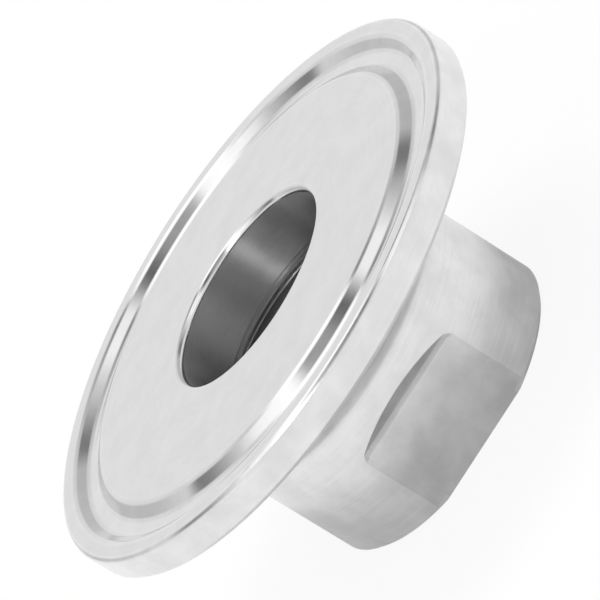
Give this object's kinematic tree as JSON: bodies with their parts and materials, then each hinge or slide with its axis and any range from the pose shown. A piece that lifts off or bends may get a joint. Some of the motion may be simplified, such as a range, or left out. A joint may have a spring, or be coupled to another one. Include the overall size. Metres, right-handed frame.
{
  "type": "sanitary clamp threaded adapter",
  "caption": "Round clamp flange with a gasket groove and sloping back on a short hub with a bore, a female pipe thread and wrench flats; joins clamped tubing to a threaded pipe.",
  "frame": {"origin": "centre of the hub's end face, which the adapter stands on", "axes": "+Z along the bore, out of the flange's sealing face; the wrench flats face -Y and +Y"},
  "size_m": [0.0506, 0.0504, 0.02],
  "materials": {
    "stainless": "stainless steel, finely turned and polished, with bright groove and edges and brushed wrench flats"
  },
  "bodies": {
    "root": {"adapter_body": "stainless"}
  },
  "joints": []
}
